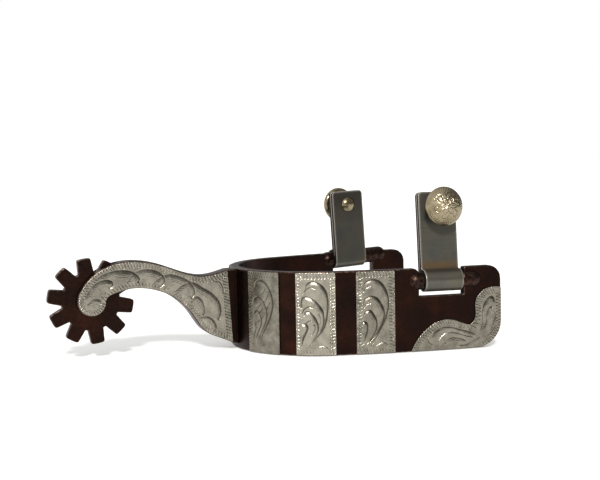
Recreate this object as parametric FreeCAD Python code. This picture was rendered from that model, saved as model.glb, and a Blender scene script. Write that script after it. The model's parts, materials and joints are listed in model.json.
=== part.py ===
import FreeCAD, Part

import math
import os

Vector = FreeCAD.Vector
Rotation = FreeCAD.Rotation

# A western spur in millimetres: a heel band that lies round the back of a boot, a shank with a
# rowel behind it, and a swinging hanger with a strap button on each branch of the band.
# +X runs from the rowel to the branch ends, +Y is the left branch and +Z is up.
# The origin is on the bottom edge of the band, at the middle of its thickness, at the heel.

# heel band: two arcs a side, given at the middle of the band's thickness
BAND_HEIGHT = 31.75
BAND_THICKNESS = 3.5
HEEL_RADIUS = 34.7
HEEL_ANGLE = 76.1
BRANCH_RADIUS = 307.0
BRANCH_END_ANGLE = 89.2
BRANCH_REACH = 92.7
TOP_CORNER_RADIUS = 5.4
BOTTOM_CORNER_RADIUS = 10.0
EDGE_ROUNDING = 0.4

# shank, fork and rowel
SHANK_THICKNESS = 7.4
SHANK_BOSS_RADIUS = 5.5
SHANK_BOSS_END = 8.6
FORK_SLOT_WIDTH = 3.6
FORK_SLOT_CLEARANCE = 1.2
ROWEL_X = -58.8
ROWEL_Z = 22.0
ROWEL_TIP_RADIUS = 16.3
ROWEL_ROOT_RADIUS = 10.7
ROWEL_THICKNESS = 3.1
ROWEL_TEETH = 10
ROWEL_FIRST_TOOTH = 26.0
TOOTH_TIP_WIDTH = 4.95
TOOTH_ROOT_WIDTH = 5.9
TOOTH_ROOT_ROUNDING = 0.15
ROWEL_PIN_RADIUS = 2.0

# hinges: knuckles, pins and hangers
HINGE_PIN_RADIUS = 2.38
RUNNING_CLEARANCE = 0.05
KNUCKLE_RADIUS = 3.4
KNUCKLE_PIN_DEPTH = 2.6
HANGER_GAP = 0.3
HANGER_WIDTH = 15.2
HANGER_THICKNESS = 3.6
HANGER_SEAM = 0.12
HANGER_SEAM_START = 1.5
BARREL_RADIUS = 4.3
BARREL_BLEND = 0.5
HANGER_CORNER_RADIUS = 1.6

# strap buttons and their rivets
BUTTON_RADIUS = 7.5
BUTTON_NECK_RADIUS = 3.0
BUTTON_NECK_LENGTH = 3.3
BUTTON_RIM = 1.7
BUTTON_DOME = 4.6
BUTTON_DROP = 6.0
BUTTON_UNDERSIDE_RADIUS = 6.5
BUTTON_UNDERSIDE_RISE = 0.3
BUTTON_EDGE_MIDDLE = (0.25, 0.75)
RIVET_RADIUS = 2.0
RIVET_HEAD_RADIUS = 3.25
RIVET_HEAD_HEIGHT = 1.8
RIVET_GRIP = 4.6

# silver facings
SILVER_THICKNESS = 0.7
SILVER_MARGIN = 0.3
BAR_WIDTH = 15.0
BAR_PLACES = {"heel": 20.0, "middle": 41.7, "front": 64.5}

# The two hinges were fitted by hand and differ a little. Lean is outward from upright and tilt
# raises the front of the hinge pin, both in degrees.
SIDES = {
    "right": {
        "notch": (59.0, 77.0),
        "knuckle_ends": (54.3, 84.2),
        "hinge_x": 68.4,
        "hinge_z": 26.85,
        "tilt": 0.0,
        "lean": -5.5,
        "reach": 34.0,
        "button_shift": 0.9,
    },
    "left": {
        "notch": (56.0, 76.4),
        "knuckle_ends": (50.5, 83.6),
        "hinge_x": 63.9,
        "hinge_z": 29.3,
        "tilt": 2.5,
        "lean": 1.6,
        "reach": 30.0,
        "button_shift": 0.0,
    },
}
NOTCH_FLOOR = 21.1
NOTCH_REAR_ROUNDING = 2.3
NOTCH_FRONT_ROUNDING = 0.7

# side outlines as (x, z) points for smooth curves
SHANK_TOP = [(-64.0, 24.4), (-62.6, 27.2), (-55.3, 33.9), (-44.9, 36.6), (-31.3, 34.4),
             (-21.6, 30.8), (-14.9, 29.6), (-9.6, 30.3), (-5.7, 31.4)]
SHANK_BOTTOM = [(-52.9, 23.0), (-49.4, 24.8), (-43.5, 26.1), (-35.4, 25.3), (-27.8, 22.1),
                (-24.4, 19.4), (-20.6, 15.2), (-14.9, 7.6), (-9.6, 4.9), (-4.1, 2.4)]
SHANK_ROOT_X = 4.0
SHANK_ROOT_BOTTOM = 0.4
FACING_FRONT = (-5.8, -3.9)
CORNER_PLATE_EDGE = [(55.1, 0.0), (60.0, 7.4), (69.4, 11.9), (75.4, 10.4), (79.4, 9.6), (81.4, 12.6),
                     (81.3, 17.2), (84.5, 22.2), (89.0, 23.5), (92.7, 23.1)]

# limits of the cutting shapes, all clear of the spur, and the least length of a straight edge
OVERLAP = 1.0
BEHIND_BAND = -10.0
NEAR_AXIS = 1.0
FAR_SIDE = 60.0
SHORT_LINE = 0.01


def side_view(x, z):
    """A point of the XZ plane."""
    return Vector(x, 0, z)


def rounded_outline(corners):
    """Closed wire through (x, z, radius) corners, each rounded by a tangent arc of its radius."""
    edges = []
    joints = []
    count = len(corners)
    for index, (x, z, radius) in enumerate(corners):
        corner = side_view(x, z)
        before = (side_view(*corners[index - 1][:2]) - corner).normalize()
        after = (side_view(*corners[(index + 1) % count][:2]) - corner).normalize()
        if radius == 0:
            joints.append((corner, corner))
            continue
        half = before.getAngle(after) / 2
        setback = radius / math.tan(half)
        inward = (before + after).normalize()
        middle = corner + inward * (radius / math.sin(half) - radius)
        start = corner + before * setback
        end = corner + after * setback
        edges.append(Part.Arc(start, middle, end).toShape())
        joints.append((start, end))
    for index in range(count):
        start = joints[index - 1][1]
        end = joints[index][0]
        if start.distanceToPoint(end) > 1e-6:
            edges.append(Part.makeLine(start, end))
    return Part.Wire(Part.__sortEdges__(edges))


def smooth_edge(points, left_shift=0):
    """Smooth curve through (x, z) points, moved sideways to the left of its direction."""
    places = [side_view(*point) for point in points]
    curve = Part.BSplineCurve()
    curve.interpolate(places)
    if left_shift:
        tangents = [Vector(*curve.tangent(curve.parameter(place))[0]) for place in places]
        places = [place + Vector(-tangent.z, 0, tangent.x) * left_shift
                  for place, tangent in zip(places, tangents)]
        curve.interpolate(places)
    return curve.toShape()


def slab(outline, low, high):
    """Solid from an XZ outline, a wire or a face, between two values of Y."""
    face = outline.copy() if outline.ShapeType == "Face" else Part.Face(outline)
    face.translate(Vector(0, low, 0))
    return face.extrude(Vector(0, high - low, 0))


def to_side(shape, side):
    """Shapes are drawn for the left side; the right side is their mirror image."""
    if side == "left":
        return shape
    return shape.mirror(Vector(0, 0, 0), Vector(0, 1, 0))


# ---- the band's curve ----

def band_centre(angle):
    """Centre and middle radius of the arc that holds a station of the left branch."""
    heel_centre = Vector(HEEL_RADIUS, 0, 0)
    if angle <= HEEL_ANGLE:
        return heel_centre, HEEL_RADIUS
    return heel_centre - band_normal(HEEL_ANGLE) * (BRANCH_RADIUS - HEEL_RADIUS), BRANCH_RADIUS


def band_normal(angle):
    """Outward direction; the angle is 0 at the heel and grows along the branch."""
    turn = math.radians(angle)
    return Vector(-math.cos(turn), math.sin(turn), 0)


def band_point(angle, offset):
    """Point of the branch's plan curve, offset outward from the middle of the band."""
    centre, radius = band_centre(angle)
    return centre + band_normal(angle) * (radius + offset)


def angle_at_length(length):
    """Station of a distance along the outer face from the heel."""
    outer = BAND_THICKNESS / 2
    heel_length = math.radians(HEEL_ANGLE) * (HEEL_RADIUS + outer)
    if length <= heel_length:
        return math.degrees(length / (HEEL_RADIUS + outer))
    return HEEL_ANGLE + math.degrees((length - heel_length) / (BRANCH_RADIUS + outer))


def angle_at_x(x):
    """Station of the branch arc where its middle has the given X."""
    centre = band_centre(BRANCH_END_ANGLE)[0]
    return math.degrees(math.acos((centre.x - x) / BRANCH_RADIUS))


def plan_curve(start, end, offset):
    """Edges of the branch's plan curve between two stations."""
    stations = [start, end]
    if start < HEEL_ANGLE < end:
        stations.insert(1, HEEL_ANGLE)
    edges = []
    for low, high in zip(stations, stations[1:]):
        middle = (low + high) / 2
        centre, radius = band_centre(middle)
        places = [centre + band_normal(angle) * (radius + offset) for angle in (low, middle, high)]
        edges.append(Part.Arc(*places).toShape())
    return edges


def strip(start, end, inner, outer, low, high):
    """Curved plate between two stations, two offsets and two heights."""
    edges = plan_curve(start, end, inner) + plan_curve(start, end, outer)
    edges.append(Part.makeLine(band_point(start, inner), band_point(start, outer)))
    edges.append(Part.makeLine(band_point(end, inner), band_point(end, outer)))
    face = Part.Face(Part.Wire(Part.__sortEdges__(edges)))
    face.translate(Vector(0, 0, low))
    return face.extrude(Vector(0, 0, high - low))


# ---- hinge frames ----

def hinge_placement(side, with_lean):
    """Frame at the hinge: X along the pin, Y outward, Z up the hanger."""
    values = SIDES[side]
    station = angle_at_x(values["hinge_x"])
    place = band_point(station, 0)
    place.z = values["hinge_z"]
    turn = Rotation(Vector(0, 0, 1), 90 - station) * Rotation(Vector(0, 1, 0), -values["tilt"])
    if with_lean:
        turn = turn * Rotation(Vector(1, 0, 0), -values["lean"])
    return FreeCAD.Placement(place, turn)


def at_hinge(shape, side, with_lean=False):
    """Move a shape drawn in the hinge frame to its side of the band."""
    moved = shape.copy()
    moved.Placement = hinge_placement(side, with_lean)
    return to_side(moved, side)


def hinge_span(side):
    """Where the knuckles start and end along the pin, from the hinge's middle."""
    values = SIDES[side]
    inner = HANGER_WIDTH / 2 + HANGER_GAP
    rear, front = [end - values["hinge_x"] for end in values["knuckle_ends"]]
    return inner, rear, front


# ---- heel band ----

def branch_limits(side):
    """Side outline of one branch, with its rounded end and its notch."""
    rear, front = SIDES[side]["notch"]
    above = BAND_HEIGHT + OVERLAP
    body = rounded_outline([
        (BEHIND_BAND, 0, 0),
        (BRANCH_REACH, 0, BOTTOM_CORNER_RADIUS),
        (BRANCH_REACH, BAND_HEIGHT, TOP_CORNER_RADIUS),
        (BEHIND_BAND, BAND_HEIGHT, 0),
    ])
    notch = rounded_outline([
        (rear - NOTCH_REAR_ROUNDING, above, 0),
        (rear - NOTCH_REAR_ROUNDING, BAND_HEIGHT, 0),
        (rear, BAND_HEIGHT, NOTCH_REAR_ROUNDING - SHORT_LINE),
        (rear, NOTCH_FLOOR, EDGE_ROUNDING),
        (front, NOTCH_FLOOR, EDGE_ROUNDING),
        (front, BAND_HEIGHT, NOTCH_FRONT_ROUNDING - SHORT_LINE),
        (front + NOTCH_FRONT_ROUNDING, BAND_HEIGHT, 0),
        (front + NOTCH_FRONT_ROUNDING, above, 0),
    ])
    return slab(body, -OVERLAP, FAR_SIDE).cut(slab(notch, NEAR_AXIS, FAR_SIDE))


def knuckle(start, end):
    """Bullet-shaped swelling along the pin, flat at its start and round at its end."""
    direction = math.copysign(1, end - start)
    radius = KNUCKLE_RADIUS
    nose = end - direction * radius
    slant = radius * math.sqrt(0.5)
    profile = Part.Wire([
        Part.makeLine(Vector(start, 0, 0), Vector(start, radius, 0)),
        Part.makeLine(Vector(start, radius, 0), Vector(nose, radius, 0)),
        Part.Arc(Vector(nose, radius, 0), Vector(nose + direction * slant, slant, 0),
                 Vector(end, 0, 0)).toShape(),
        Part.makeLine(Vector(end, 0, 0), Vector(start, 0, 0)),
    ])
    return Part.Face(profile).revolve(Vector(0, 0, 0), Vector(1, 0, 0), 360)


def make_heel_band():
    half_thickness = BAND_THICKNESS / 2
    branch = strip(0, BRANCH_END_ANGLE, -half_thickness, half_thickness, 0, BAND_HEIGHT)
    halves = []
    for side in SIDES:
        half = to_side(branch.common(branch_limits(side)), side)
        inner, rear, front = hinge_span(side)
        for start, end in ((-inner, rear), (inner, front)):
            half = half.fuse(at_hinge(knuckle(start, end), side))
        halves.append(half.cut(make_hinge_pin(side)))
    return halves[0].fuse(halves[1]).removeSplitter()


def make_hinge_pin(side):
    """Round pin held in both knuckles."""
    reach = HANGER_WIDTH / 2 + HANGER_GAP + KNUCKLE_PIN_DEPTH
    pin = Part.makeCylinder(HINGE_PIN_RADIUS, 2 * reach, Vector(-reach, 0, 0), Vector(1, 0, 0))
    return at_hinge(pin, side)


# ---- shank and rowel ----

def shank_face(inset=0):
    """Side face of the shank, round at the rowel and square where it enters the heel."""
    radius = SHANK_BOSS_RADIUS
    boss_left = (ROWEL_X - radius, ROWEL_Z)
    boss_end = math.radians(-SHANK_BOSS_END)
    boss_right = (ROWEL_X + radius * math.cos(boss_end), ROWEL_Z + radius * math.sin(boss_end))
    top = smooth_edge([boss_left] + SHANK_TOP, -inset)
    bottom = smooth_edge([boss_right] + SHANK_BOTTOM, inset)
    top_start, top_end = top.firstVertex().Point, top.lastVertex().Point
    bottom_start, bottom_end = bottom.firstVertex().Point, bottom.lastVertex().Point
    boss_bottom = side_view(ROWEL_X, ROWEL_Z - radius + inset)
    top_root = side_view(SHANK_ROOT_X, BAND_HEIGHT - inset)
    bottom_root = side_view(SHANK_ROOT_X, SHANK_ROOT_BOTTOM + inset)
    return Part.Face(Part.Wire(Part.__sortEdges__([
        top,
        bottom,
        Part.Arc(top_start, boss_bottom, bottom_start).toShape(),
        Part.makeLine(top_end, top_root),
        Part.makeLine(top_root, bottom_root),
        Part.makeLine(bottom_root, bottom_end),
    ])))


def rowel_disc(radius, thickness):
    """Disc on the rowel's axis, centred on the plane of the shank."""
    centre = Vector(ROWEL_X, -thickness / 2, ROWEL_Z)
    return Part.makeCylinder(radius, thickness, centre, Vector(0, 1, 0))


def make_shank():
    half = SHANK_THICKNESS / 2
    body = slab(shank_face(), -half, half)
    heel = Part.makeCylinder(HEEL_RADIUS + BAND_THICKNESS / 2, BAND_HEIGHT, Vector(HEEL_RADIUS, 0, 0))
    slot = rowel_disc(ROWEL_TIP_RADIUS + FORK_SLOT_CLEARANCE, FORK_SLOT_WIDTH)
    return body.cut(heel).cut(slot).cut(make_rowel_pin())


def make_rowel_pin():
    """Pin through both cheeks of the fork, flush with their outer faces."""
    return rowel_disc(ROWEL_PIN_RADIUS, SHANK_THICKNESS)


def make_rowel():
    corners = []
    blank = ROWEL_TIP_RADIUS + 1
    for index in range(ROWEL_TEETH):
        middle = math.radians(ROWEL_FIRST_TOOTH + index * 360 / ROWEL_TEETH)
        along = (math.cos(middle), math.sin(middle))
        across = (-math.sin(middle), math.cos(middle))
        for radius, half_width, rounding in (
            (ROWEL_ROOT_RADIUS, -TOOTH_ROOT_WIDTH / 2, TOOTH_ROOT_ROUNDING),
            (blank, -TOOTH_TIP_WIDTH / 2, 0),
            (blank, TOOTH_TIP_WIDTH / 2, 0),
            (ROWEL_ROOT_RADIUS, TOOTH_ROOT_WIDTH / 2, TOOTH_ROOT_ROUNDING),
        ):
            x = ROWEL_X + along[0] * radius + across[0] * half_width
            z = ROWEL_Z + along[1] * radius + across[1] * half_width
            corners.append((x, z, rounding))
    half = ROWEL_THICKNESS / 2
    star = slab(rounded_outline(corners), -half, half)
    blank_disc = rowel_disc(ROWEL_TIP_RADIUS, ROWEL_THICKNESS)
    bore = rowel_disc(ROWEL_PIN_RADIUS + RUNNING_CLEARANCE, ROWEL_THICKNESS)
    return star.common(blank_disc).cut(bore)


# ---- silver facings ----

def make_shank_facing(side):
    """Silver sheet on one cheek of the shank, ending in a straight edge short of the band."""
    top_x, bottom_x = FACING_FRONT
    beyond = rounded_outline([
        (bottom_x, 0, 0),
        (SHANK_ROOT_X + 1, 0, 0),
        (SHANK_ROOT_X + 1, BAND_HEIGHT + 1, 0),
        (top_x, BAND_HEIGHT + 1, 0),
    ])
    cheek = shank_face(SILVER_MARGIN).cut(Part.Face(beyond)).Faces[0]
    low = SHANK_THICKNESS / 2
    return to_side(slab(cheek, low, low + SILVER_THICKNESS), side)


def make_bar(side, place):
    """Silver bar across the outer face of the band."""
    length = BAR_PLACES[place]
    start = angle_at_length(length - BAR_WIDTH / 2)
    end = angle_at_length(length + BAR_WIDTH / 2)
    outer = BAND_THICKNESS / 2
    bar = strip(start, end, outer, outer + SILVER_THICKNESS, SILVER_MARGIN, BAND_HEIGHT - SILVER_MARGIN)
    return to_side(bar, side)


def make_corner_plate(side):
    """Two-lobed silver plate on the lower corner of a branch end."""
    outer = BAND_THICKNESS / 2
    edge = smooth_edge(CORNER_PLATE_EDGE)
    (rear_x, rear_z), (front_x, front_z) = CORNER_PLATE_EDGE[0], CORNER_PLATE_EDGE[-1]
    beyond = front_x + OVERLAP
    below = [(front_x, front_z), (beyond, front_z), (beyond, -OVERLAP), (rear_x, -OVERLAP), (rear_x, rear_z)]
    lines = [Part.makeLine(side_view(*a), side_view(*b)) for a, b in zip(below, below[1:])]
    lobes = slab(Part.Wire(Part.__sortEdges__([edge] + lines)), NEAR_AXIS, FAR_SIDE)
    reach = BRANCH_REACH - SILVER_MARGIN
    limits = slab(rounded_outline([
        (40, SILVER_MARGIN, 0),
        (reach, SILVER_MARGIN, BOTTOM_CORNER_RADIUS),
        (reach, BAND_HEIGHT, 0),
        (40, BAND_HEIGHT, 0),
    ]), NEAR_AXIS, FAR_SIDE)
    sheet = strip(HEEL_ANGLE + 1, BRANCH_END_ANGLE, outer, outer + SILVER_THICKNESS, 0, BAND_HEIGHT)
    return to_side(sheet.common(lobes).common(limits), side)


# ---- hangers, buttons and rivets ----

def make_hanger(side):
    """Strap folded double round the hinge pin, flat on its inner face."""
    reach = SIDES[side]["reach"]
    half_width = HANGER_WIDTH / 2
    inner = -BARREL_RADIUS
    outer = inner + HANGER_THICKNESS
    along = Vector(1, 0, 0)
    rear = Vector(-half_width, 0, 0)
    front_view = rounded_outline([
        (-half_width, 0, 0),
        (half_width, 0, 0),
        (half_width, reach, HANGER_CORNER_RADIUS),
        (-half_width, reach, HANGER_CORNER_RADIUS),
    ])
    plate = slab(front_view, inner, outer)
    barrel = Part.makeCylinder(BARREL_RADIUS, HANGER_WIDTH, rear, along)
    bore = Part.makeCylinder(HINGE_PIN_RADIUS + RUNNING_CLEARANCE, HANGER_WIDTH, rear, along)

    blend_y = outer + BARREL_BLEND
    blend_z = math.sqrt((BARREL_RADIUS + BARREL_BLEND) ** 2 - blend_y ** 2)
    toward_barrel = Vector(0, blend_y, blend_z).normalize()
    on_barrel = toward_barrel * BARREL_RADIUS
    on_plate = Vector(0, outer, blend_z)
    bisector = (on_barrel + on_plate) * 0.5 - Vector(0, blend_y, blend_z)
    middle = Vector(0, blend_y, blend_z) + bisector.normalize() * BARREL_BLEND
    foot = Vector(0, outer, 0)
    blend_wire = Part.Wire([
        Part.Arc(on_plate, middle, on_barrel).toShape(),
        Part.makeLine(on_barrel, foot),
        Part.makeLine(foot, on_plate),
    ])
    blend = Part.Face(blend_wire).extrude(along * HANGER_WIDTH)
    blend.translate(rear)

    seam_y = inner + HANGER_THICKNESS / 2
    seam_corner = Vector(-half_width, seam_y - HANGER_SEAM / 2, HANGER_SEAM_START)
    seam = Part.makeBox(HANGER_WIDTH, HANGER_SEAM, reach - HANGER_SEAM_START, seam_corner)
    solid = plate.fuse([barrel, blend]).removeSplitter().cut([bore, seam])
    rivet = make_rivet_shank(side)
    return at_hinge(solid.cut(rivet), side, with_lean=True)


def button_axis(side):
    """Foot of the button's axis on the hanger's outer face, and its direction."""
    values = SIDES[side]
    height = values["reach"] - BUTTON_DROP
    foot = Vector(values["button_shift"], HANGER_THICKNESS - BARREL_RADIUS, height)
    return foot, Vector(0, 1, 0)


def make_rivet_shank(side):
    foot, outward = button_axis(side)
    start = foot - outward * HANGER_THICKNESS
    return Part.makeCylinder(RIVET_RADIUS, RIVET_GRIP + HANGER_THICKNESS, start, outward)


def turned(profile, foot):
    """Solid of revolution about the button's axis, from (radius, height) edges."""
    solid = Part.Face(Part.Wire(profile)).revolve(Vector(0, 0, 0), Vector(0, 1, 0), 360)
    solid.translate(foot)
    return solid


def dome_middle(radius, height):
    """Point (radius, height above the rim) halfway up a spherical dome."""
    sphere = (radius ** 2 + height ** 2) / (2 * height)
    across = radius / 2
    return across, height - sphere + math.sqrt(sphere ** 2 - across ** 2)


def make_button(side):
    """Domed button on a neck, bored for its rivet."""
    foot = button_axis(side)[0]
    flange = BUTTON_NECK_LENGTH
    rim = flange + BUTTON_RIM
    edge_in, edge_down = BUTTON_EDGE_MIDDLE
    edge_middle = Vector(BUTTON_RADIUS - edge_in, rim - edge_down, 0)
    half_radius, half_height = dome_middle(BUTTON_RADIUS, BUTTON_DOME)
    points = [
        Vector(0, 0, 0),
        Vector(BUTTON_NECK_RADIUS, 0, 0),
        Vector(BUTTON_NECK_RADIUS, flange, 0),
        Vector(BUTTON_UNDERSIDE_RADIUS, flange + BUTTON_UNDERSIDE_RISE, 0),
        Vector(BUTTON_RADIUS, rim, 0),
        Vector(0, rim + BUTTON_DOME, 0),
    ]
    profile = [
        Part.makeLine(points[0], points[1]),
        Part.makeLine(points[1], points[2]),
        Part.makeLine(points[2], points[3]),
        Part.Arc(points[3], edge_middle, points[4]).toShape(),
        Part.Arc(points[4], Vector(half_radius, rim + half_height, 0), points[5]).toShape(),
        Part.makeLine(points[5], points[0]),
    ]
    solid = turned(profile, foot).cut(make_rivet_shank(side))
    return at_hinge(solid, side, with_lean=True)


def make_button_rivet(side):
    """Rivet from a domed head on the hanger's inner face into the button."""
    foot, outward = button_axis(side)
    back = foot - outward * HANGER_THICKNESS
    rim = Vector(RIVET_HEAD_RADIUS, 0, 0)
    crown = Vector(0, -RIVET_HEAD_HEIGHT, 0)
    half_radius, half_depth = dome_middle(RIVET_HEAD_RADIUS, RIVET_HEAD_HEIGHT)
    profile = [
        Part.makeLine(Vector(0, 0, 0), rim),
        Part.Arc(rim, Vector(half_radius, -half_depth, 0), crown).toShape(),
        Part.makeLine(crown, Vector(0, 0, 0)),
    ]
    head = turned(profile, back)
    return at_hinge(head.fuse(make_rivet_shank(side)).removeSplitter(), side, with_lean=True)


def main():
    os.makedirs("parts", exist_ok=True)
    parts = {
        "heel_band": make_heel_band(),
        "shank": make_shank(),
        "rowel": make_rowel(),
        "rowel_pin": make_rowel_pin(),
    }
    for side in SIDES:
        parts[side + "_shank_facing"] = make_shank_facing(side)
        for place in BAR_PLACES:
            parts[side + "_" + place + "_bar"] = make_bar(side, place)
        parts[side + "_corner_plate"] = make_corner_plate(side)
        parts[side + "_hinge_pin"] = make_hinge_pin(side)
        parts[side + "_hanger"] = make_hanger(side)
        parts[side + "_button"] = make_button(side)
        parts[side + "_button_rivet"] = make_button_rivet(side)
    for node, shape in parts.items():
        shape.exportStep("parts/" + node + ".step")


main()
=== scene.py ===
"""A western riding spur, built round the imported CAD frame.

Shapes are worked out in millimetres and made as meshes in metres, in the frame's axes: +X from the
rowel to the branch ends, +Y the left branch, +Z up.
"""
import json
import math

import bmesh
import bpy
import numpy as np
from numpy.linalg import norm
from mathutils import Matrix, Vector
from mathutils.geometry import delaunay_2d_cdt


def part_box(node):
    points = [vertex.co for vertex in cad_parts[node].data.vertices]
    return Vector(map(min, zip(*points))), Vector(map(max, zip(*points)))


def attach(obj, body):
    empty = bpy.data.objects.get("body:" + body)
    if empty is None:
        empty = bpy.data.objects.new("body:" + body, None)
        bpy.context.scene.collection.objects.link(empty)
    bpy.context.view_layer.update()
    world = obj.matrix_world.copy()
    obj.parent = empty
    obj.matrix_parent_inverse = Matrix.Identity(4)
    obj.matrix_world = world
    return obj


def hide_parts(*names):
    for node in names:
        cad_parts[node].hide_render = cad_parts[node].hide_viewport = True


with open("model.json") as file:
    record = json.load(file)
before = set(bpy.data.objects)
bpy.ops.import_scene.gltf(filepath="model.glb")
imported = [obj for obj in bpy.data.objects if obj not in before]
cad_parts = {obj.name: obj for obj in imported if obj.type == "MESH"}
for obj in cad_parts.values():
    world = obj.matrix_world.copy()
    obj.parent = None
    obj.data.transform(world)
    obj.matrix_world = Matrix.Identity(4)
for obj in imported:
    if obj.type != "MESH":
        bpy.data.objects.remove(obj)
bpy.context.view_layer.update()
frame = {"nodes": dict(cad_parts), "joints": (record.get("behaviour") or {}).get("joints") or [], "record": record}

MM = 0.001

# heel band
BAND_HEIGHT = 31.75
BAND_HALF = 1.75
HEEL_RADIUS = 34.7
HEEL_ANGLE = math.radians(76.1)
BRANCH_RADIUS = 307.0
BRANCH_REACH = 92.7
TOP_CORNER = 5.4
BOTTOM_CORNER = 10.0
NOTCHES = {"right": (59.0, 77.0), "left": (56.0, 76.4)}
NOTCH_FLOOR = 21.1
NOTCH_REAR_ROUNDING = 2.3
NOTCH_FRONT_ROUNDING = 0.7
KNUCKLE_ENDS = {"right": (54.3, 84.2), "left": (50.5, 83.6)}
KNUCKLE_RADIUS = 3.4

# hangers, buttons and pins
HANGER_HALF_WIDTH = 7.6
HANGER_GAP = 0.3
HANGER_INNER = -4.3
HANGER_THICKNESS = 3.6
HANGER_OUTER = HANGER_INNER + HANGER_THICKNESS
HANGER_REACH = {"right": 34.0, "left": 30.0}
HANGER_CORNER = 1.6
BARREL_RADIUS = 4.3
BARREL_BLEND = 0.5
SEAM_HALF = 0.06
SEAM_START = 1.5
PIN_RADIUS = 2.38
PIN_BORE = 2.43
PIN_DEPTH = 2.6
BUTTON_RADIUS = 7.5
BUTTON_NECK_RADIUS = 3.0
BUTTON_NECK_LENGTH = 3.3
BUTTON_RIM = 1.7
BUTTON_DOME = 4.6
BUTTON_UNDERSIDE_RADIUS = 6.5
BUTTON_UNDERSIDE_RISE = 0.3
RIVET_HEAD_RADIUS = 3.25
RIVET_HEAD_HEIGHT = 1.8
RIVET_SHAFT_RADIUS = 1.9
RIVET_IN_NECK = 4.0

# shank, rowel and silver
SHANK_HALF = 3.7
ROWEL_HALF = 1.55
FORK_SLOT_HALF = 1.8
FORK_SLOT_RADIUS = 17.5
SILVER_THICKNESS = 0.7
SILVER_MARGIN = 0.3
BAR_WIDTH = 15.0
BAR_PLACES = {"heel": 20.0, "middle": 41.7, "front": 64.5}
SIGN = {"right": -1.0, "left": 1.0}

# finish: rounded edges, mesh spacing, engraving and paleness of each silver piece
BAND_EDGE = 0.42
SHANK_EDGE = 0.55
ROWEL_EDGE = 0.32
HANGER_EDGE = 0.2
KNUCKLE_EDGE = 0.35
EDGE_HOLD = 0.08
TOOTH_STEP = 0.25
TOOTH_SMOOTHINGS = 9
ROWEL_FACE_WEAR = 0.04
FACING_CORNER = 0.5
SILVER_SPACING = 0.16
RELIEF_FADE = 0.3
BORDER_PERIOD = 1.2
BORDER_ROWS = (0.45, 2.05)
BORDER_DEPTH = 0.17
PIT_DEPTH = 0.22
PIT_RADII = (0.42, 0.36)
HEAT_HEIGHT = 5.6
HEAT_WIDTH = 1.6
# the painted shade in the hanger's crease: its height and width
CREASE_SHADE_HEIGHT = 3.5
CREASE_SHADE_WIDTH = 0.8
# share of pale silver over tarnish in each facing, the heel bar darkest and the middle bar palest
SILVER_PALENESS = {"shank": 0.55, "heel": 0.1, "middle": 0.8, "front": 0.35, "corner": 0.3}
HAND = np.random.default_rng(7)
PART = 4000

HEEL_LENGTH = HEEL_ANGLE * (HEEL_RADIUS + BAND_HALF)
HEEL_CENTRE = np.array([HEEL_RADIUS, 0.0])
HEEL_NORMAL = np.array([-math.cos(HEEL_ANGLE), math.sin(HEEL_ANGLE)])
BRANCH_CENTRE = HEEL_CENTRE - HEEL_NORMAL * (BRANCH_RADIUS - HEEL_RADIUS)


# ---- places ----

def on_band(length, height, out):
    """Points by length along the band's outer face (negative on the right), height, and distance out."""
    along = np.abs(length)
    heel = along <= HEEL_LENGTH
    heel_turn = along / (HEEL_RADIUS + BAND_HALF)
    branch_turn = HEEL_ANGLE + (along - HEEL_LENGTH) / (BRANCH_RADIUS + BAND_HALF)
    turn = np.where(heel, heel_turn, branch_turn)
    radius = np.where(heel, HEEL_RADIUS, BRANCH_RADIUS) + out
    x = np.where(heel, HEEL_CENTRE[0], BRANCH_CENTRE[0]) - np.cos(turn) * radius
    y = np.where(heel, HEEL_CENTRE[1], BRANCH_CENTRE[1]) + np.sin(turn) * radius
    return np.stack([x, np.where(length < 0, -y, y), height], axis=1)


def length_at_x(x):
    """Length along the outer face at which the middle of a branch has this X."""
    turn = math.acos((BRANCH_CENTRE[0] - x) / BRANCH_RADIUS)
    return HEEL_LENGTH + (turn - HEEL_ANGLE) * (BRANCH_RADIUS + BAND_HALF)


def unrolled(points):
    """Length along the band, height and distance out of points on a branch."""
    across = np.abs(points[:, 1]) - BRANCH_CENTRE[1]
    behind = BRANCH_CENTRE[0] - points[:, 0]
    turn = np.arctan2(across, behind)
    length = HEEL_LENGTH + (turn - HEEL_ANGLE) * (BRANCH_RADIUS + BAND_HALF)
    out = np.hypot(across, behind) - BRANCH_RADIUS
    return length, points[:, 2], out


def strap_mount(side):
    return next(m for m in frame["record"]["mounts"] if m["name"] == side + "_strap_button")


def hinge_axes(side, leaning):
    """Origin and axes of a hinge from the record: along the pin, outward, and up the hanger."""
    joint = next(j for j in frame["joints"] if j["name"] == side + "_hanger_swing")
    along = np.array(joint["axis"], float)
    along *= math.copysign(1, along[0])
    outward = np.array(strap_mount(side)["axis"] if leaning else [0, SIGN[side], 0], float)
    outward -= along * (outward @ along)
    outward /= norm(outward)
    up = np.cross(along, outward)
    up *= math.copysign(1, up[2])
    return np.array(joint["pos_m"], float) / MM, along, outward, up


def at_hinge(side, points, leaning):
    """Points given along the pin, outward and upward, moved to the hinge."""
    origin, along, outward, up = hinge_axes(side, leaning)
    return origin + points @ np.array([along, outward, up])


def button_foot(side):
    """Where the button stands on its hanger, in the hinge's own axes."""
    origin, along, outward, up = hinge_axes(side, True)
    neck_middle = np.array(strap_mount(side)["pos_m"], float) / MM - origin
    place = np.array([neck_middle @ along, neck_middle @ outward, neck_middle @ up])
    place[1] -= BUTTON_NECK_LENGTH / 2
    return place


# ---- outlines ----

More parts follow.
